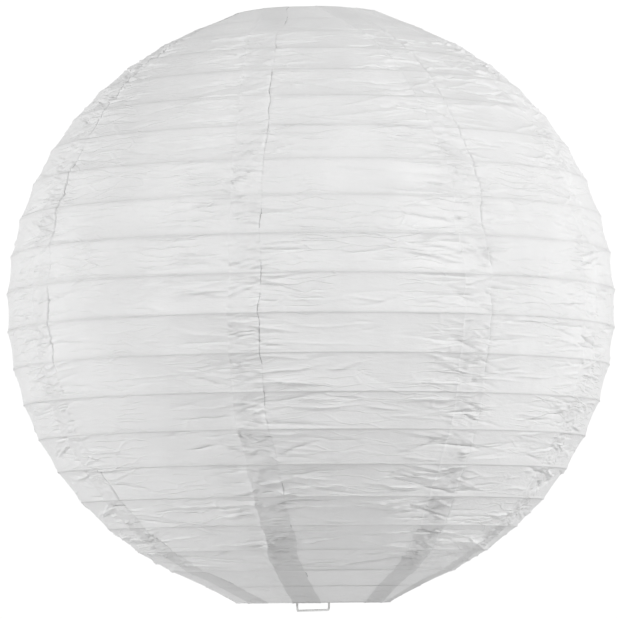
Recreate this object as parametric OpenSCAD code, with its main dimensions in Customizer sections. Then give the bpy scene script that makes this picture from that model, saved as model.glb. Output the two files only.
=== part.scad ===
// Round accordion paper lantern, 40 cm across, held open by a wire expander frame.
// The origin is the centre of the lampholder hole, and +Z points up the cable.
// The front is -Y. Angles round the ball are measured from the front, towards +X.

/* [Paper ball] */
// Radius of the ball at its widest rib
ball_r = 200; // [150:1:260]
// Height of the full ball as a share of its width
squat = 0.98; // [0.9:0.01:1]
// Angle from one rib to the next, seen from the ball's centre
rib_pitch = 7.2; // [7:0.05:7.3]
// Angle from the bottom pole to the bottom ring
bottom_angle = 13.3; // [12:0.1:15]
// How far the frame stretches each end ring past the ball's curve
end_pull = 3; // [1:0.5:5]
// Thickness of the paper with its glue
paper_t = 0.3; // [0.2:0.05:0.5]
// Width of the slit between two gores, which the glued lap covers
gore_gap = 0.4; // [0.2:0.1:1]

/* [Hoops] */
// Radius of a rib's wire
rib_wire_r = 0.5; // [0.4:0.05:0.8]
// Radius of the wire of the two end rings
end_wire_r = 1; // [0.8:0.1:1.2]
// Radius of the two openings, to the middle of the end ring's wire
opening_r = 50; // [50:0.5:53]
// Clear space from a hoop's wire to the paper around it
paper_clear = 0.4; // [0.3:0.05:0.6]

/* [Expander frame] */
// Radius of the frame's coated wire
frame_wire_r = 0.75; // [0.6:0.05:0.9]
// Turn of the frame's plane from the front, about the hanging axis
frame_turn = -13.5; // [-90:0.5:90]
// Distance from the hanging axis to each side wire
side_r = 46.5; // [45:0.1:47]
// Reach of each ear, the bent end that bears on an end ring
ear_r = 54; // [53:0.5:54]
// Radius of every bend in the frame's wire
bend_r = 2.5; // [2:0.1:3]
// Drop of the bottom bar's wire below the bottom ring
bar_drop = 6.6; // [5:0.1:9]

/* [Lampholder ring] */
// Radius of the hole that the lampholder's thread passes
hole_r = 21; // [20:0.25:22]
// Radius of the pressed ring's outer edge
disc_r = 27; // [26:0.5:30]
// Thickness of the pressed ring
disc_t = 2; // [1.5:0.1:3]
// Height of the top ring above the lampholder hole
top_ring_z = 5; // [4:0.5:7]

/* [Hidden] */
$fn = 96;
rib_count = 20;
top_index = rib_count + 1;
// Where each hand-glued gore starts; the last one ends where the first begins
GORE_EDGES = [-57, -9, 32, 67, 112, 158, 205, 255];
gore_count = len(GORE_EDGES);
slit_angle = asin(gore_gap / ball_r);
// Gap between an ear and the end ring that it bears on
ear_clear = 0.35;
// Gap between two frame wires that are welded together
weld_gap = 0.02;
// Height of the bottom bar's upright ends above the bottom ring
bar_rise = 14;
PAPER = [0.94, 0.94, 0.93];
COATED_WIRE = [0.9, 0.9, 0.88];
PRESSED_STEEL = [0.7, 0.7, 0.71];

RIB_NAMES = [for (k = [1 : rib_count]) str("rib_", k < 10 ? "0" : "", k)];
GORE_NAMES = [for (g = [1 : gore_count]) str("gore_", g)];

// Hoops are counted upwards: 0 is the bottom ring and top_index is the top ring
function is_end(k) = k == 0 || k == top_index;
function hoop_angle(k) = bottom_angle + rib_pitch * k;
function hoop_pull(k) = k == 0 ? -end_pull : k == top_index ? end_pull : 0;
function ball_z(k) = hoop_pull(k) - ball_r * squat * cos(hoop_angle(k));
function hoop_z(k) = ball_z(k) - ball_z(top_index) + top_ring_z;
function hoop_r(k) = is_end(k) ? opening_r : ball_r * sin(hoop_angle(k));
function hoop_wire_r(k) = is_end(k) ? end_wire_r : rib_wire_r;

// One level wire hoop at its place up the ball
module hoop(k) {
    color(COATED_WIRE)
        translate([0, 0, hoop_z(k)])
            rotate_extrude()
                translate([hoop_r(k), 0])
                    circle(r = hoop_wire_r(k));
}

// A point of the paper's outline beside hoop k, a distance out from the wire's centre
function paper_point(k, out) = [
    hoop_r(k) + out * sin(hoop_angle(k)),
    hoop_z(k) - out * cos(hoop_angle(k))
];

// One gore of the skin, in straight bands of paper from hoop to hoop
module gore(g) {
    start = GORE_EDGES[g];
    end = g + 1 < gore_count ? GORE_EDGES[g + 1] : GORE_EDGES[0] + 360;
    inner = [for (k = [0 : top_index]) paper_point(k, hoop_wire_r(k) + paper_clear)];
    outer = [for (k = [top_index : -1 : 0]) paper_point(k, hoop_wire_r(k) + paper_clear + paper_t)];
    color(PAPER)
        rotate([0, 0, start - 90 + slit_angle / 2])
            rotate_extrude(angle = end - start - slit_angle)
                polygon(concat(inner, outer));
}

// The frame's wires are drawn in the XY plane, as [distance from the axis, height]
function heading(a, b) = atan2(b.y - a.y, b.x - a.x);
function bend_angle(p, i) = (heading(p[i], p[i + 1]) - heading(p[i - 1], p[i]) + 540) % 360 - 180;
function toward(a, b, d) = a + (b - a) * d / norm(b - a);
// Length of the straight wire that the bend at corner i takes up on each side
function taken(p, i) = i == 0 || i == len(p) - 1 ? 0 : bend_r * tan(abs(bend_angle(p, i)) / 2);

module straight_wire(a, b) {
    translate([a.x, a.y, 0])
        rotate([0, 0, heading(a, b)])
            rotate([0, 90, 0])
                cylinder(h = norm(b - a), r = frame_wire_r);
}

module wire_bend(p, i) {
    turn = bend_angle(p, i);
    start = toward(p[i], p[i - 1], taken(p, i));
    spoke = heading(p[i - 1], p[i]) - 90 * sign(turn);
    centre = start - bend_r * [cos(spoke), sin(spoke)];
    translate([centre.x, centre.y, 0])
        rotate([0, 0, turn > 0 ? spoke : spoke + turn])
            rotate_extrude(angle = abs(turn))
                translate([bend_r, 0])
                    circle(r = frame_wire_r);
}

// Round wire bent at each inner corner of the path p
module bent_wire(p) {
    for (i = [0 : len(p) - 2])
        straight_wire(toward(p[i], p[i + 1], taken(p, i)), toward(p[i + 1], p[i], taken(p, i + 1)));
    for (i = [1 : len(p) - 2])
        wire_bend(p, i);
}

// Stands the XY plane upright as the frame's plane, with +X turned to the back
module in_frame_plane() {
    rotate([0, 0, 90 + frame_turn])
        rotate([90, 0, 0])
            children();
}

// Height of the ears' wire beside each end ring
bear = end_wire_r + frame_wire_r + ear_clear;
top_bear_z = hoop_z(top_index) - bear;
bottom_bear_z = hoop_z(0) + bear;

// Long straight wire with an ear at each end; side is 1 at the back and -1 at the front
module side_wire(side) {
    color(COATED_WIRE)
        in_frame_plane()
            bent_wire([
                [side * ear_r, top_bear_z],
                [side * side_r, top_bear_z],
                [side * side_r, bottom_bear_z],
                [side * ear_r, bottom_bear_z]
            ]);
}

// Short wire welded between the lampholder ring's rim and a side wire
module top_arm(side) {
    color(COATED_WIRE)
        in_frame_plane()
            straight_wire(
                [side * (disc_r + weld_gap), 0],
                [side * (side_r - frame_wire_r - weld_gap), 0]
            );
}

// U-shaped wire across the bottom opening, welded inside the two side wires
module bottom_bar() {
    upright_r = side_r - 2 * frame_wire_r - weld_gap;
    bar_z = hoop_z(0) - bar_drop;
    color(COATED_WIRE)
        in_frame_plane()
            bent_wire([
                [-upright_r, hoop_z(0) + bar_rise],
                [-upright_r, bar_z],
                [upright_r, bar_z],
                [upright_r, hoop_z(0) + bar_rise]
            ]);
}

// Pressed ring that a lampholder is screwed through
module lampholder_ring() {
    color(PRESSED_STEEL)
        difference() {
            cylinder(h = disc_t, r = disc_r, center = true);
            cylinder(h = 2 * disc_t, r = hole_r, center = true);
        }
}

lampholder_ring();
top_arm(-1);  // top_arm_front
top_arm(1);  // top_arm_back
side_wire(-1);  // side_wire_front
side_wire(1);  // side_wire_back
bottom_bar();
hoop(top_index);  // top_ring
hoop(0);  // bottom_ring
for (k = [1 : rib_count]) {
    hoop(k);
}
for (g = [0 : gore_count - 1]) {
    gore(g);
}
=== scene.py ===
"""A round white paper lantern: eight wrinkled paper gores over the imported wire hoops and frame."""
import math

import bpy
import numpy as np
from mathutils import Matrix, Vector


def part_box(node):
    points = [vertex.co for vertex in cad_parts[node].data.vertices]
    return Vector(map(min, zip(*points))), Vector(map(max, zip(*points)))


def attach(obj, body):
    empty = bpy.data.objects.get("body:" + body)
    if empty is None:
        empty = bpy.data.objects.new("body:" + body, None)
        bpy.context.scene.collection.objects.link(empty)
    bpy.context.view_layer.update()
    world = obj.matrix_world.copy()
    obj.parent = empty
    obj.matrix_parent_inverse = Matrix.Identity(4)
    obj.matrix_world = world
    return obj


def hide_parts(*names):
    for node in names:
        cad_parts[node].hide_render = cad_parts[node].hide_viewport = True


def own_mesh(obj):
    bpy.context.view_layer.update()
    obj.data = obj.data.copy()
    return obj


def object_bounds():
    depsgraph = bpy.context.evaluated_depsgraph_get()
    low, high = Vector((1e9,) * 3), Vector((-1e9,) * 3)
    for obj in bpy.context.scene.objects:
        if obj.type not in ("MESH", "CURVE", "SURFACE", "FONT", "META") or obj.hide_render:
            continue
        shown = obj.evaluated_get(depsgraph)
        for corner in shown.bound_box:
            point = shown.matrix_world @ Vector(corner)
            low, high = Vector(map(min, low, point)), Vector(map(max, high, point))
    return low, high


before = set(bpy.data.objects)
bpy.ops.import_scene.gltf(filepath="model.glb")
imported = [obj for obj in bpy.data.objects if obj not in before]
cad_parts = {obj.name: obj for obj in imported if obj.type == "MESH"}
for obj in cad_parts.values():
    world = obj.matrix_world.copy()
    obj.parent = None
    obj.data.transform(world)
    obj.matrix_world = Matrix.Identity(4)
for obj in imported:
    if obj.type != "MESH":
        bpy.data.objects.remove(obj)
cad_low, cad_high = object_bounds()

MM = 0.001

# ---------------------------------------------------------------- what the frame says

RIBS = sorted(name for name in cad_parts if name.startswith("rib_"))
HOOPS = ["bottom_ring", *RIBS, "top_ring"]
GORES = sorted(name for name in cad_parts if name.startswith("gore_"))
LAST_HOOP = len(HOOPS) - 1


def wrapped(angle):
    """The same angle between -pi and pi."""
    return (angle + math.pi) % (2 * math.pi) - math.pi


def hoop_facts(node):
    """Radius, height and wire radius of a level wire hoop."""
    low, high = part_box(node)
    wire = (high.z - low.z) / 2
    return max(high.x - low.x, high.y - low.y) / 2 - wire, (high.z + low.z) / 2, wire


def start_angle(node):
    """Angle of a gore's left edge, from the front towards +X, in radians."""
    x, y, _ = np.array([v.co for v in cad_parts[node].data.vertices]).T
    angle = np.arctan2(x, -y)
    middle = math.atan2(np.sin(angle).mean(), np.cos(angle).mean())
    return middle + wrapped(angle - middle).min()


hoop_r, hoop_z, hoop_wire = np.array([hoop_facts(name) for name in HOOPS]).T
gore_start = np.array([start_angle(name) for name in GORES])
ball_r = hoop_r.max()
ball_centre = Vector((0, 0, (hoop_z[0] + hoop_z[-1]) / 2))

# ---------------------------------------------------------------- the paper's profile

# Points and directions of the profile are (r, z). A band is the paper between two hoops.

COVER = 0.3 * MM  # from a wire's surface to the middle of the paper over it
ROW_STEP = 0.46 * MM
NEAR_HOOP = np.array([0.4, 0.8, 1.2]) * MM  # extra rows beside each hoop
HEM_TURN = math.radians(145)  # how far the paper wraps round an end ring's wire
HEM_ROWS = 8


def unit(v):
    return v / np.linalg.norm(v, axis=-1, keepdims=True)


def hoop_normals():
    """Outward direction of the paper at each hoop."""
    centres = np.stack([hoop_r, hoop_z], axis=1)
    chord = unit(np.diff(centres, axis=0))
    facing = np.stack([chord[:, 1], -chord[:, 0]], axis=1)
    return unit(np.vstack([facing[:1], facing[:-1] + facing[1:], facing[-1:]]))


def block(point, facing, band, share, length):
    """Rows of the skin: share is how far up its band a row lies, length the band's width."""
    count = len(point)
    return {
        "point": point,
        "facing": facing,
        "band": np.full(count, band),
        "share": np.full(count, share),
        "length": np.full(count, length),
    }


def band_rows(band, corners, normals):
    """Rows of one band, from the hoop below it to just under the hoop above."""
    length = np.linalg.norm(corners[band + 1] - corners[band])
    inner = length - 2 * NEAR_HOOP[-1]
    steps = max(2, round(inner / ROW_STEP))
    middle = NEAR_HOOP[-1] + inner * np.linspace(0, 1, steps + 1)[1:-1]
    along = np.concatenate([[0], NEAR_HOOP, middle, length - NEAR_HOOP[::-1]])
    share = (along / length)[:, None]
    point = corners[band] * (1 - share) + corners[band + 1] * share
    facing = unit(normals[band] * (1 - share) + normals[band + 1] * share)
    return block(point, facing, band, share[:, 0], length)


def hem_rows(hoop, normal, turn, band, share):
    """Rows that wrap the paper round an end ring, from the skin's edge inwards."""
    start = math.atan2(normal[1], normal[0])
    angle = start + turn * np.arange(1, HEM_ROWS + 1) / HEM_ROWS
    facing = np.stack([np.cos(angle), np.sin(angle)], axis=1)
    centre = np.array([hoop_r[hoop], hoop_z[hoop]])
    return block(centre + (hoop_wire[hoop] + COVER) * facing, facing, band, share, 0.0)


def profile():
    """Rows of the skin from the bottom hem to the top hem."""
    normals = hoop_normals()
    corners = np.stack([hoop_r, hoop_z], axis=1) + (hoop_wire + COVER)[:, None] * normals
    low_hem = hem_rows(0, normals[0], -HEM_TURN, 0, 0.0)
    blocks = [{key: value[::-1] for key, value in low_hem.items()}]
    blocks += [band_rows(band, corners, normals) for band in range(LAST_HOOP)]
    blocks.append(block(corners[-1:], normals[-1:], LAST_HOOP - 1, 1.0, blocks[-1]["length"][0]))
    blocks.append(hem_rows(LAST_HOOP, normals[LAST_HOOP], HEM_TURN, LAST_HOOP - 1, 1.0))
    found = {key: np.concatenate([part[key] for part in blocks]) for key in blocks[0]}
    step = np.linalg.norm(np.diff(found["point"], axis=0), axis=1)
    return {
        "r": found["point"][:, 0],
        "z": found["point"][:, 1],
        "facing_r": found["facing"][:, 0],
        "facing_z": found["facing"][:, 1],
        "band": found["band"],
        "share": found["share"],
        "length": found["length"],
        "in_band": found["length"] > 0,
        "from_hoop": np.minimum(found["share"], 1 - found["share"]) * found["length"],
        "s": np.concatenate([[0], np.cumsum(step)]),
    }


rows = profile()

# ---------------------------------------------------------------- noise

# First seed of each random pattern, to which the number of a gore or lap is added
WANDER_SEED, FINE_WANDER_SEED = 300, 320
LAP_CRUMPLE_SEED, OPEN_CRUMPLE_SEED = 400, 600  # and these go up in tens
LIFT_SEED, GAPE_SEED = 500, 540
UNEVEN_SEED, SLACK_SEED = 700, 900
COCKLE_SEED, COCKLE_RUN_SEED = 800, 820
LAP_FOLD_SEED, OPEN_FOLD_SEED = 1000, 2000

NOISE_CELLS = 1024  # whole steps before the noise comes round again


def eased(x):
    """Rises smoothly from 0 to 1 as x does."""
    x = np.clip(x, 0, 1)
    return x * x * (3 - 2 * x)


def bell(x, width):
    """1 in the middle, and nearly nothing two widths away."""
    return np.exp(-((x / width) ** 2))


def value_noise(x, seed):
    """Smooth noise from -1 to 1, with one random value at each whole x."""
    table = np.random.default_rng(seed).uniform(-1, 1, NOISE_CELLS)
    cell = np.floor(x).astype(int)
    part = x - cell
    part = part * part * (3 - 2 * part)
    return table[cell % NOISE_CELLS] * (1 - part) + table[(cell + 1) % NOISE_CELLS] * part


# ---------------------------------------------------------------- where the gores meet

# Lap number 0 lies at the left edge of gore_1, and so on.

LAP = 20 * MM  # width of the glued lap between two gores, at the equator
LAP_TAPER = 0.12  # how much narrower a lap is where the ball comes to a point
LAP_NUDGE = np.radians([0, 0, 1.6, 0, 0, 0, 0, 0])  # how unevenly the laps were laid
LOW_TWIST = np.radians([13, 7, 20, 13, 11, 14, 12, 13])  # drift of each lap at the bottom ring
HIGH_TWIST = np.radians([-15, -14, -16, -15, -13, -15, -16, -14])  # and at the top ring
WAIST = 0.25  # an end ring's radius over the ball's; the drift grows from the equator to the ring
WANDER = 1.9 * MM  # how far a lap strays from its line
WANDER_STEP = 31 * MM
FINE_WANDER = 0.4  # share of it that strays quickly
FINE_WANDER_STEP = 9 * MM


def lap_centre(lap):
    """Angle of the middle of a lap at each row of the skin."""
    growth = (hoop_r[0] / rows["r"] - WAIST) / (1 - WAIST)
    twist = np.where(rows["z"] < ball_centre.z, LOW_TWIST[lap], HIGH_TWIST[lap]) * growth
    slow = value_noise(rows["s"] / WANDER_STEP, WANDER_SEED + lap)
    quick = value_noise(rows["s"] / FINE_WANDER_STEP, FINE_WANDER_SEED + lap)
    stray = WANDER * (slow + FINE_WANDER * quick)
    return gore_start[lap] - LAP / 2 / ball_r + LAP_NUDGE[lap] + twist + stray / rows["r"]


lap_angles = [lap_centre(lap) for lap in range(len(GORES))]
half_lap = LAP / 2 * (1 - LAP_TAPER * (1 - rows["r"] / ball_r))

# ---------------------------------------------------------------- folds

CREST = 0.48 * MM  # how fast the sharp crest of a fold falls off
FOLD_WANDER = 0.6 * MM  # how far a fold strays from its bow
FOLD_WANDER_STEP = 7 * MM
FOLD_RISE, FOLD_FADE = 7, 1.6  # a fold rises in 1/7 of its length and fades over 1/1.6 of it
FULL_BAND = 20 * MM  # bands narrower than this have lower folds

# Kinds of fold at a lap. start: where it begins beside the lap, in mm. level: how far up the band.
# stray: of its heading, in radians. length: in mm. bow: share of its length. tall: height, in mm.
FAN = {
    "start": (1, 12), "level": (0.06, 0.94), "stray": 0.16,
    "length": (12, 60), "bow": 0.09, "tall": (0.45, 1.5),
}
ACROSS = {
    "start": (-14, 6), "level": (0.05, 0.95), "stray": 0.6,
    "length": (6, 22), "bow": 0.25, "tall": (0.5, 1.5),
}
BOLD = {
    "start": (-50, 20), "level": (0.15, 0.85), "stray": 0.2,
    "length": (18, 50), "bow": 0.04, "tall": (1.4, 2.3),
}


def fold(x, y, start, heading, length, bow, crest, slope, soft, number):
    """A fold that runs from a point along heading: a sharp crest, with a soft slope on one side."""
    ahead, side = math.cos(heading), math.sin(heading)
    along = ((x - start[0]) * ahead + (y - start[1]) * side) / length
    stray = FOLD_WANDER * value_noise(along * length / FOLD_WANDER_STEP + 300, number)
    path = bow * length * along * (1 - along) + stray
    across = (y - start[1]) * ahead - (x - start[0]) * side - path
    fade = eased(along * FOLD_RISE) * eased((1 - along) * FOLD_FADE)
    on_slope = across * soft > 0
    one_side = np.exp(-np.where(on_slope, np.abs(across / soft), np.abs(across) / CREST))
    return fade * (crest * np.exp(-np.abs(across) / CREST) + slope * one_side)


def fold_shape(rng, lowest, highest):
    """Random cross-section of a fold, which is a ridge or a valley."""
    tall = rng.choice([-0.9, 1]) * rng.uniform(lowest, highest) * MM
    return {
        "crest": tall * rng.uniform(0.45, 0.8),
        "slope": tall * rng.uniform(0.25, 0.6),
        "soft": rng.choice([-1, 1]) * rng.uniform(1.2, 3.5) * MM,
        "number": int(rng.integers(9999)),
    }


def lap_fold(rng, width, kind, side=1):
    """A random fold of one kind, in a band of the given width; side -1 runs to the left."""
    return {
        "start": (side * rng.uniform(*kind["start"]) * MM, rng.uniform(*kind["level"]) * width),
        "heading": (0 if side > 0 else math.pi) + rng.normal(0, kind["stray"]),
        "length": rng.uniform(*kind["length"]) * MM,
        "bow": rng.normal(0, kind["bow"]),
        **fold_shape(rng, *kind["tall"]),
    }


def lap_folds(rng, width):
    """Folds that fan out from a lap or cross it, in one band of the given width."""
    for side in (-1, 1):
        for _ in range(rng.integers(4, 9)):
            yield lap_fold(rng, width, FAN, side)
    for _ in range(rng.integers(5, 10)):
        yield lap_fold(rng, width, ACROSS)
    for _ in range(rng.integers(0, 4)):
        yield lap_fold(rng, width, BOLD)


def open_folds(rng, width, reach):
    """Sparse long folds in the open paper between two laps; one in seven or so goes its own way."""
    for _ in range(rng.integers(5, 13)):
        yield {
            "start": (rng.uniform(-reach, reach * 0.6), rng.uniform(0.1, 0.9) * width),
            "heading": rng.normal(0, 0.16) if rng.random() < 0.85 else rng.normal(0, 0.8),
            "length": rng.uniform(12, 60) * MM,
            "bow": rng.normal(0, 0.1),
            **fold_shape(rng, 0.3, 1.2),
        }


def add_folds(height, x, folds_of, seed):
    """Adds random folds to every band; x is each point's distance along the hoop."""
    for band in range(LAST_HOOP):
        here = np.flatnonzero((rows["band"] == band) & rows["in_band"])
        first, last = here[0], here[-1] + 1
        width = rows["length"][first]
        y = (rows["share"][first:last] * width)[:, None]
        rng = np.random.default_rng([seed, band])
        size = min(1, width / FULL_BAND)
        for found in folds_of(rng, width):
            height[first:last] += size * fold(x[first:last], y, **found)


# ---------------------------------------------------------------- crumple, sag and relief

# Sets of facets that make the crumple: direction in degrees, spacing in mm, share
FACETS = ((82, 5.5, 1.0), (104, 3.9, 0.8), (64, 8.0, 0.8), (128, 4.6, 0.5), (35, 6.5, 0.4))
FACET_SUM = 3.4  # brings all sets together back to about 1
FACET_WARP = 1.1  # how far the facets are pushed out of line, in spacings
LAP_CRUMPLE = 1.15 * MM
LAP_CRUMPLE_REACH = 11 * MM  # how far from a lap's middle its crumple goes
OPEN_CRUMPLE = 0.14 * MM
COCKLE = 0.2 * MM  # low waves across the open paper
INSIDE_FADE = 6 * MM  # over which the open paper's own wrinkles begin beside a lap
CALM = 38 * MM  # the paper is hardly creased this close to an opening
CALM_SHARE = 0.12
HOLD = 2.0 * MM  # the paper is flat this close to a hoop, where glue holds it
SAG = 0.9 * MM  # how far a band of SAG_BAND dips between its hoops at the equator
SAG_BAND = 25 * MM
LOW_RIDGE, HIGH_RIDGE = 0.4 * MM, 0.2 * MM  # how far a hoop stands out, low and high on the ball
RIDGE_WIDTH = 0.6 * MM
RIDGE_FADE = 120 * MM  # height above the middle over which one turns into the other


def folded(x):
    """Zigzag wave from -1 to 1."""
    return 2 * np.abs(2 * (x - np.floor(x + 0.5))) - 1


def crumple(x, s, seed):
    """Small flat facets that meet in sharp creases, as in crushed paper."""
    across = value_noise(x / (7 * MM) + 500, seed)
    upward = value_noise(s / (6 * MM), seed + 1)
    warp = FACET_WARP * across + FACET_WARP * upward
    total = np.zeros_like(x)
    for turn, wave, share in FACETS:
        angle = math.radians(turn)
        total += share * folded((x * math.cos(angle) + s * math.sin(angle)) / (wave * MM) + warp)
    return total / FACET_SUM


def wrinkles(gore, left, right, s):
    """Height of all wrinkles of a gore; left and right are distances from its two laps."""
    following = (gore + 1) % len(GORES)
    middle = (left + right) / 2
    reach = (left - right)[len(s) // 2, 0] / 2
    height, own = np.zeros_like(s), np.zeros_like(s)
    add_folds(height, left, lap_folds, LAP_FOLD_SEED + gore)
    add_folds(height, right, lap_folds, LAP_FOLD_SEED + following)
    add_folds(own, middle, lambda rng, width: open_folds(rng, width, reach), OPEN_FOLD_SEED + gore)
    inside = eased((np.minimum(left, -right) - half_lap[:, None]) / INSIDE_FADE)
    height += own * inside
    for x, lap in ((left, gore), (right, following)):
        uneven = 0.6 + 0.5 * value_noise(s / (23 * MM), UNEVEN_SEED + lap)
        facets = crumple(x, s, LAP_CRUMPLE_SEED + 10 * lap)
        height += bell(x, LAP_CRUMPLE_REACH) * uneven * LAP_CRUMPLE * facets
    height += inside * OPEN_CRUMPLE * crumple(middle, s, OPEN_CRUMPLE_SEED + 10 * gore)
    wave = value_noise(middle / (5.5 * MM) + 200, COCKLE_SEED + gore)
    height += inside * COCKLE * (wave * value_noise(s / (26 * MM), COCKLE_RUN_SEED + gore))
    return height, inside


def relief(gore, left, right, s):
    """Height of the paper over its plain profile, for one gore's grid of points."""
    share, width, in_band = (rows[key][:, None] for key in ("share", "length", "in_band"))
    height, inside = wrinkles(gore, left, right, s)
    held = eased(share * width / HOLD) * eased((1 - share) * width / HOLD)
    from_end = np.minimum(s, rows["s"][-1] - s)
    calm = CALM_SHARE + (1 - CALM_SHARE) * eased((from_end - CALM) / CALM)
    height = height * held * in_band * calm
    slack = 1 + 0.4 * value_noise(left / (45 * MM) + 100, SLACK_SEED + gore) * inside
    sag = SAG * (width / SAG_BAND) ** 2 * (rows["r"][:, None] / ball_r) ** 1.5 * slack
    height -= sag * 4 * share * (1 - share) * in_band
    above = eased((rows["z"][:, None] - ball_centre.z) / RIDGE_FADE)
    ridge = LOW_RIDGE - (LOW_RIDGE - HIGH_RIDGE) * above
    return height + ridge * bell(rows["from_hoop"][:, None], RIDGE_WIDTH) * in_band


# ---------------------------------------------------------------- the edges of a lap

PLY = 0.16 * MM  # how far each layer of a lap lies from the middle of the two
PLY_STEP, EDGE_STEP = 1.2 * MM, 0.7 * MM  # over which the lower and the upper layer get there
GROOVE_DEEP = 0.6 * MM  # the dip pressed into the paper along a lap's free edge
GROOVE_OUT = 0.45 * MM  # how far outside that edge it runs
GROOVE_WIDTH = 0.4 * MM
GROOVE_AT_HOOP = 0.3  # share of its depth that is left where it crosses a hoop
BEAD = 0.3 * MM  # the roll along the free edge
LIFT = 0.5 * MM  # the most that the free edge lifts off
LIFT_WIDTH = 4 * MM

# How loose each lap's free edge is, and how far along the paper from the bottom they lie flatter
EDGE_OPEN = np.array([0.45, 0.05, 1.1, 0.1, 0.25, 0.25, 0.25, 0.25])
EDGE_SHUT = 190 * MM
EDGE_SHUT_SHARE = 0.6
EDGE_SHUT_FADE = 50 * MM


def gape(s, gore):
    """How far the free edge over a gore's left lap stands open, from 0 to 1, at each s."""
    shut = EDGE_SHUT_SHARE * eased((EDGE_SHUT - s) / EDGE_SHUT_FADE + 1)
    loose = 1.2 * value_noise(s / (11 * MM), GAPE_SEED + gore)
    return np.clip(EDGE_OPEN[gore] - shut + loose, 0, 1)


def lap_offset(left, right, s, gore):
    """Puts a gore's left border under its neighbour and its right border over the next one."""
    half = half_lap[:, None]
    clear = eased(rows["from_hoop"][:, None] / MM)
    deep = GROOVE_DEEP * gape(s, gore) * (GROOVE_AT_HOOP + (1 - GROOVE_AT_HOOP) * clear)
    groove = deep * bell(left - half - GROOVE_OUT, GROOVE_WIDTH)
    under = -PLY * eased((half - left) / PLY_STEP + 0.5) - groove
    past = right + half
    over = PLY * eased(past / EDGE_STEP + 0.5)
    bead = BEAD * bell(past, EDGE_STEP)
    loose = np.clip(value_noise(s / (12 * MM), LIFT_SEED + gore) + 0.1, 0, 1) * LIFT
    lift = loose * eased((past - 2 * half + LIFT_WIDTH) / LIFT_WIDTH) ** 2
    return under + over + bead + lift


# ---------------------------------------------------------------- meshes

LAP_COLUMNS = 16
OPEN_COLUMNS = 44
EDGE_COLUMNS = np.array([0.2, 0.45, 0.8, 1.4]) * MM  # extra ones just outside the covered lap
EDGE_SHADOW_COLUMNS = 2  # how many of those carry the painted shadow line under the free edge
OPEN_FROM = 0.15  # how far the edge must gape for the painted shadow line to show


def gore_angles(gore):
    """Angle of every grid point of a gore, from its covered border to its free edge."""
    r = rows["r"]
    first = lap_angles[gore]
    last = first + (lap_angles[(gore + 1) % len(GORES)] - first) % (2 * math.pi)
    half = half_lap / r
    edge = EDGE_COLUMNS / r[:, None]
    lap = (1 - np.cos(np.linspace(0, math.pi, LAP_COLUMNS + 1))) / 2
    opening = np.linspace(0, 1, OPEN_COLUMNS + 1)
    inner = first + half + edge[:, -1]
    columns = [
        (first - half)[:, None] + 2 * half[:, None] * lap,
        (first + half)[:, None] + edge[:, :-1],
        inner[:, None] + (last - half - inner)[:, None] * opening[:-1],
        (last - half)[:, None] + 2 * half[:, None] * lap,
    ]
    return np.hstack(columns)


def grid_mesh(name, points):
    """Mesh object of quads over a grid of points."""
    high, wide = points.shape[:2]
    mesh = bpy.data.meshes.new(name)
    corner = (np.arange(high - 1)[:, None] * wide + np.arange(wide - 1)).ravel()
    faces = np.stack([corner, corner + 1, corner + wide + 1, corner + wide], axis=1)
    mesh.from_pydata(points.reshape(-1, 3).tolist(), [], faces.tolist())
    mesh.shade_smooth()
    mesh.update()
    piece = bpy.data.objects.new(name, mesh)
    bpy.context.scene.collection.objects.link(piece)
    return piece


def face_materials(gore):
    """For each face of a gore: 0 for open paper, 1 in a lap and 2 in the painted shadow line along
    its edge.
    """
    free = len(EDGE_COLUMNS) + OPEN_COLUMNS
    column = np.arange(2 * LAP_COLUMNS + free)
    in_lap = (column < LAP_COLUMNS) | (column >= LAP_COLUMNS + free)
    # painted shadow: the faces just past a neighbour's free edge get a dark grey line where that
    # edge gapes
    in_shadow_line = (column >= LAP_COLUMNS) & (column < LAP_COLUMNS + EDGE_SHADOW_COLUMNS)
    open_edge = gape(rows["s"][:-1], gore)[:, None] > OPEN_FROM
    return np.where(in_shadow_line & open_edge, 2, 1 * in_lap).ravel()


def paper_gore(gore):
    """One gore of paper, and the width of its widest row laid flat."""
    angle = gore_angles(gore)
    s = rows["s"][:, None] + 0 * angle
    left, right = (
        wrapped(angle - lap_angles[lap % len(GORES)][:, None]) * rows["r"][:, None]
        for lap in (gore, gore + 1)
    )
    height = relief(gore, left, right, s) + lap_offset(left, right, s, gore)
    r = rows["r"][:, None] + rows["facing_r"][:, None] * height
    z = rows["z"][:, None] + rows["facing_z"][:, None] * height
    points = np.stack([r * np.sin(angle), -r * np.cos(angle), z + 0 * angle], axis=-1)
    piece = grid_mesh(f"paper_{GORES[gore]}", points)
    step = np.linalg.norm(np.diff(points, axis=1), axis=2)
    return piece, step.sum(axis=1).max()


# ---------------------------------------------------------------- materials

PAPER_THROUGH = 0.38  # share of the light that the paper lets through


def grey(value):
    return (value, value, value)


def new_material(name):
    material = bpy.data.materials.new(name)
    material.use_nodes = True
    nodes, links = material.node_tree.nodes, material.node_tree.links
    nodes.clear()
    output = nodes.new("ShaderNodeOutputMaterial")
    return material, nodes, links, output


def stretched_noise(nodes, links, scale, detail, stretch=(1, 1, 1)):
    """Noise over the object's own coordinates, finer along the axes with more stretch."""
    place = nodes.new("ShaderNodeTexCoord")
    mapping = nodes.new("ShaderNodeMapping")
    mapping.inputs["Scale"].default_value = stretch
    noise = nodes.new("ShaderNodeTexNoise")
    noise.inputs["Scale"].default_value = scale
    noise.inputs["Detail"].default_value = detail
    links.new(place.outputs["Object"], mapping.inputs["Vector"])
    links.new(mapping.outputs["Vector"], noise.inputs["Vector"])
    return noise.outputs["Fac"]


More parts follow.
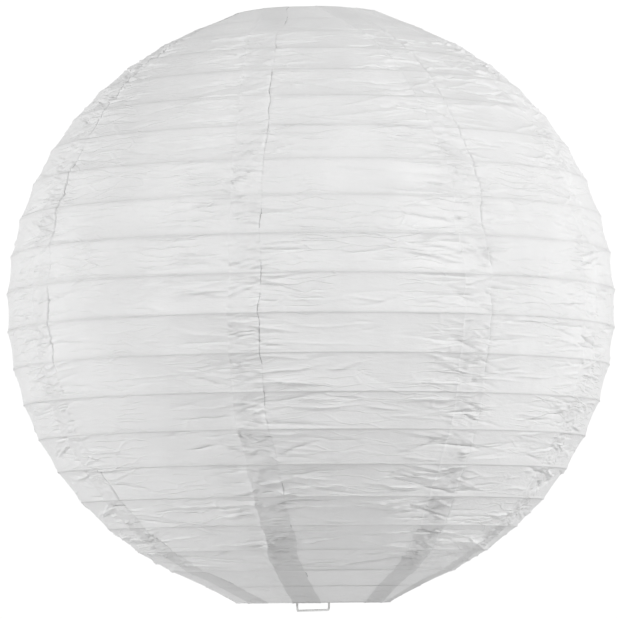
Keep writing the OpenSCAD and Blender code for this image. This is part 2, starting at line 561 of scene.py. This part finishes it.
def ramp(nodes, links, value, low, high, start=0.35, end=0.65):
    """Colours a value from low to high."""
    node = nodes.new("ShaderNodeValToRGB")
    first, last = node.color_ramp.elements
    first.position, first.color = start, (*low, 1)
    last.position, last.color = end, (*high, 1)
    links.new(value, node.inputs["Fac"])
    return node.outputs["Color"]


def bump(nodes, links, value, distance, strength, before=None):
    """Normal of a bumpy surface, on top of an earlier bump if there is one."""
    node = nodes.new("ShaderNodeBump")
    node.inputs["Distance"].default_value = distance
    node.inputs["Strength"].default_value = strength
    links.new(value, node.inputs["Height"])
    if before is not None:
        links.new(before, node.inputs["Normal"])
    return node.outputs["Normal"]


def fine_creases(nodes, links):
    """Height of a net of hairline creases, longer along the hoops, that comes and goes."""
    place = nodes.new("ShaderNodeTexCoord")
    drift = nodes.new("ShaderNodeTexNoise")
    drift.inputs["Scale"].default_value = 40
    warp = nodes.new("ShaderNodeVectorMath")
    warp.operation = "MULTIPLY_ADD"
    warp.inputs[1].default_value = (0.02, 0.02, 0.008)
    mapping = nodes.new("ShaderNodeMapping")
    mapping.inputs["Scale"].default_value = (1, 1, 7)
    cells = nodes.new("ShaderNodeTexVoronoi")
    cells.feature = "DISTANCE_TO_EDGE"
    cells.inputs["Scale"].default_value = 30
    line = nodes.new("ShaderNodeMapRange")
    line.interpolation_type = "SMOOTHSTEP"
    line.inputs["From Max"].default_value = 0.09
    line.inputs["To Min"].default_value = 1
    line.inputs["To Max"].default_value = 0
    patches = stretched_noise(nodes, links, 22, 3)
    patch = ramp(nodes, links, patches, grey(0), grey(1), 0.45, 0.62)
    height = nodes.new("ShaderNodeMath")
    height.operation = "MULTIPLY"
    links.new(place.outputs["Object"], drift.inputs["Vector"])
    links.new(drift.outputs["Color"], warp.inputs[0])
    links.new(place.outputs["Object"], warp.inputs[2])
    links.new(warp.outputs["Vector"], mapping.inputs["Vector"])
    links.new(mapping.outputs["Vector"], cells.inputs["Vector"])
    links.new(cells.outputs["Distance"], line.inputs["Value"])
    links.new(line.outputs["Result"], height.inputs[0])
    links.new(patch, height.inputs[1])
    return height.outputs["Value"]


def paper_tone(nodes, links, low, high, foot_shade):
    """Cloudy white from low to high, with painted shade that darkens it by the last argument towards
    the bottom ring.
    """
    place = nodes.new("ShaderNodeTexCoord")
    split = nodes.new("ShaderNodeSeparateXYZ")
    # painted shade: darker towards the bottom ring, for the light that doubled paper holds back
    # there
    fade = nodes.new("ShaderNodeMapRange")
    fade.interpolation_type = "SMOOTHSTEP"
    fade.inputs["From Min"].default_value = hoop_z[0]
    fade.inputs["From Max"].default_value = (hoop_z[0] + ball_centre.z) / 2
    fade.inputs["To Min"].default_value = foot_shade
    fade.inputs["To Max"].default_value = 1
    links.new(place.outputs["Object"], split.inputs["Vector"])
    links.new(split.outputs["Z"], fade.inputs["Value"])
    cloud = stretched_noise(nodes, links, 28, 4)
    tone = nodes.new("ShaderNodeVectorMath")
    tone.operation = "SCALE"
    links.new(ramp(nodes, links, cloud, grey(low), grey(high)), tone.inputs[0])
    links.new(fade.outputs["Result"], tone.inputs["Scale"])
    return tone.outputs["Vector"]


def paper_material(name, low, high, foot_shade=1.0):
    """Thin white fibre paper that lets some light through, with painted shade towards the bottom
    ring when the last argument is under 1.
    """
    material, nodes, links, output = new_material(name)
    colour = paper_tone(nodes, links, low, high, foot_shade)
    streak = stretched_noise(nodes, links, 150, 4, (1, 1, 4))
    fibre = stretched_noise(nodes, links, 420, 3, (1, 1, 3.5))
    normal = bump(nodes, links, streak, 0.4 * MM, 0.25)
    normal = bump(nodes, links, fibre, 0.3 * MM, 0.5, normal)
    normal = bump(nodes, links, fine_creases(nodes, links), 0.5 * MM, 0.6, normal)
    front = nodes.new("ShaderNodeBsdfPrincipled")
    front.inputs["Roughness"].default_value = 0.48
    front.inputs["Specular IOR Level"].default_value = 0.45
    front.inputs["Sheen Weight"].default_value = 0.05
    through = nodes.new("ShaderNodeBsdfTranslucent")
    mix = nodes.new("ShaderNodeMixShader")
    mix.inputs["Fac"].default_value = PAPER_THROUGH
    links.new(colour, front.inputs["Base Color"])
    links.new(colour, through.inputs["Color"])
    links.new(normal, front.inputs["Normal"])
    links.new(normal, through.inputs["Normal"])
    links.new(front.outputs["BSDF"], mix.inputs[1])
    links.new(through.outputs["BSDF"], mix.inputs[2])
    links.new(mix.outputs["Shader"], output.inputs["Surface"])
    return material


def grained_material(name, low, high, metallic, roughness, coat, grain, stretch=(1, 1, 1)):
    """Coated or bare wire, sheet metal, or the painted shadow line along a lap's free edge, with a
    grain of its own.
    """
    material, nodes, links, output = new_material(name)
    shader = nodes.new("ShaderNodeBsdfPrincipled")
    shader.inputs["Metallic"].default_value = metallic
    shader.inputs["Coat Weight"].default_value = coat
    shader.inputs["Coat Roughness"].default_value = 0.25
    tone = stretched_noise(nodes, links, grain, 5, stretch)
    rough = nodes.new("ShaderNodeMapRange")
    rough.inputs["To Min"].default_value = roughness * 0.8
    rough.inputs["To Max"].default_value = roughness * 1.25
    links.new(tone, rough.inputs["Value"])
    links.new(ramp(nodes, links, tone, low, high), shader.inputs["Base Color"])
    links.new(rough.outputs["Result"], shader.inputs["Roughness"])
    links.new(bump(nodes, links, tone, 0.05 * MM, 0.3), shader.inputs["Normal"])
    links.new(shader.outputs["BSDF"], output.inputs["Surface"])
    return material


def paint(node, material):
    """Gives a CAD node a material, in its slots only."""
    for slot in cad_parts[node].material_slots:
        slot.material = material


# ---------------------------------------------------------------- the studio

CAMERA_AWAY = 14  # in ball radii
CAMERA_RISE = math.radians(-3.75)
CAMERA_ROLL = math.radians(-0.45)
BALL_SHARE = 0.488  # the ball's radius over the picture's height
BALL_OFF = (0.0066, 0.0043)  # the ball's centre right of and above the picture's, in ball radii
SENSOR = 36
LIGHT_AWAY = 2.2
LIGHT_SIZE = 0.35
FLOOR_RADIUS = 6.0
FLOOR_BELOW = 1.6
FLOOR_SIDES = 96


def make_camera():
    """A long lens a little below the ball's centre, looking slightly up."""
    data = bpy.data.cameras.new("camera")
    data.sensor_width = SENSOR
    data.lens = SENSOR * BALL_SHARE * CAMERA_AWAY
    data.clip_end = 100
    camera = bpy.data.objects.new("camera", data)
    bpy.context.scene.collection.objects.link(camera)
    back = Vector((0, -math.cos(CAMERA_RISE), math.sin(CAMERA_RISE)))
    turn = (-back).to_track_quat("-Z", "Y")
    aside = turn @ Vector((-BALL_OFF[0] * ball_r, -BALL_OFF[1] * ball_r, 0))
    camera.location = ball_centre + back * CAMERA_AWAY * ball_r + aside
    camera.rotation_euler = turn.to_euler()
    camera.rotation_euler.rotate_axis("Z", CAMERA_ROLL)
    bpy.context.scene.camera = camera


def make_world():
    """White behind and beside the lantern, darker in front of it, above and below."""
    world = bpy.data.worlds.new("studio")
    bpy.context.scene.world = world
    world.use_nodes = True
    nodes, links = world.node_tree.nodes, world.node_tree.links
    nodes.clear()
    place = nodes.new("ShaderNodeTexCoord")
    split = nodes.new("ShaderNodeSeparateXYZ")
    steep = nodes.new("ShaderNodeMath")
    steep.operation = "ABSOLUTE"
    behind = nodes.new("ShaderNodeMath")
    behind.operation = "MULTIPLY"
    behind.inputs[1].default_value = 0.5
    spread = nodes.new("ShaderNodeMath")
    spread.operation = "SUBTRACT"
    tone = nodes.new("ShaderNodeMapRange")
    tone.interpolation_type = "SMOOTHSTEP"
    tone.inputs["From Min"].default_value = -0.74
    tone.inputs["From Max"].default_value = 0.05
    tone.inputs["To Min"].default_value = 0.1
    tone.inputs["To Max"].default_value = 1.04
    background = nodes.new("ShaderNodeBackground")
    background.inputs["Color"].default_value = (1, 1, 1, 1)
    output = nodes.new("ShaderNodeOutputWorld")
    links.new(place.outputs["Generated"], split.inputs["Vector"])
    links.new(split.outputs["Z"], steep.inputs[0])
    links.new(split.outputs["Y"], behind.inputs[0])
    links.new(behind.outputs["Value"], spread.inputs[0])
    links.new(steep.outputs["Value"], spread.inputs[1])
    links.new(spread.outputs["Value"], tone.inputs["Value"])
    links.new(tone.outputs["Result"], background.inputs["Strength"])
    links.new(background.outputs["Background"], output.inputs["Surface"])


def make_light(name, azimuth, elevation, power):
    """A square softbox that faces the ball; azimuth 0 is the front and 90 the right."""
    data = bpy.data.lights.new(name, "AREA")
    data.size = LIGHT_SIZE
    data.energy = power
    light = bpy.data.objects.new(name, data)
    bpy.context.scene.collection.objects.link(light)
    a, e = math.radians(azimuth), math.radians(elevation)
    back = Vector((math.sin(a) * math.cos(e), -math.cos(a) * math.cos(e), math.sin(e)))
    light.location = ball_centre + back * LIGHT_AWAY
    light.rotation_euler = (-back).to_track_quat("-Z", "Y").to_euler()
    light.visible_camera = False


def make_floor():
    """A plain pale floor, round and faintly lit, low enough to see the lantern from below."""
    angle = np.linspace(0, 2 * math.pi, FLOOR_SIDES, endpoint=False)
    rim = np.stack([FLOOR_RADIUS * np.cos(angle), FLOOR_RADIUS * np.sin(angle), 0 * angle], axis=1)
    mesh = bpy.data.meshes.new("floor")
    mesh.from_pydata(rim.tolist(), [], [list(range(FLOOR_SIDES))])
    floor = bpy.data.objects.new("floor", mesh)
    floor.location.z = cad_low.z - FLOOR_BELOW
    bpy.context.scene.collection.objects.link(floor)
    material, nodes, links, output = new_material("pale_floor")
    shader = nodes.new("ShaderNodeBsdfPrincipled")
    shader.inputs["Roughness"].default_value = 0.8
    shader.inputs["Emission Color"].default_value = (1, 1, 1, 1)
    shader.inputs["Emission Strength"].default_value = 0.3
    tone = stretched_noise(nodes, links, 6, 3)
    links.new(ramp(nodes, links, tone, grey(0.78), grey(0.8)), shader.inputs["Base Color"])
    links.new(shader.outputs["BSDF"], output.inputs["Surface"])
    mesh.materials.append(material)


# ---------------------------------------------------------------- put together

make_camera()
make_world()
make_light("key", azimuth=54, elevation=24, power=34)
make_light("fill", azimuth=-54, elevation=17, power=27)
make_floor()
bpy.context.scene.view_settings.view_transform = "Standard"

paper_materials = (  # in the order of face_materials
    paper_material("lantern_paper", low=0.91, high=0.95),
    # the lap's paper gets painted shade towards the bottom ring, where its two layers let less light
    # through
    paper_material("pasted_paper", low=0.905, high=0.95, foot_shade=0.9),
    # a dark grey line of painted shadow under each lap's gaping free edge
    grained_material("painted_edge_shadow", grey(0.55), grey(0.78),
                     metallic=0, roughness=0.8, coat=0, grain=140),
)
for number, node in enumerate(GORES):
    piece, width = paper_gore(number)
    for material in paper_materials:
        piece.data.materials.append(material)
    piece.data.polygons.foreach_set("material_index", face_materials(number).astype("int32"))
    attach(piece, "expander")
    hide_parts(node)
    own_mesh(piece)

coated = grained_material("coated_wire", (0.80, 0.80, 0.79), (0.88, 0.88, 0.87),
                          metallic=0, roughness=0.34, coat=0.4, grain=900)
steel = grained_material("rib_wire", (0.24, 0.24, 0.24), (0.36, 0.36, 0.35),
                         metallic=0.9, roughness=0.4, coat=0, grain=700, stretch=(1, 1, 6))
zinc = grained_material("pressed_steel", (0.55, 0.56, 0.57), (0.70, 0.70, 0.71),
                        metallic=0.95, roughness=0.34, coat=0, grain=260, stretch=(1, 5, 1))
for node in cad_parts:
    if node.startswith("rib_"):
        paint(node, steel)
    elif node == "lampholder_ring":
        paint(node, zinc)
    elif not node.startswith("gore_"):
        paint(node, coated)
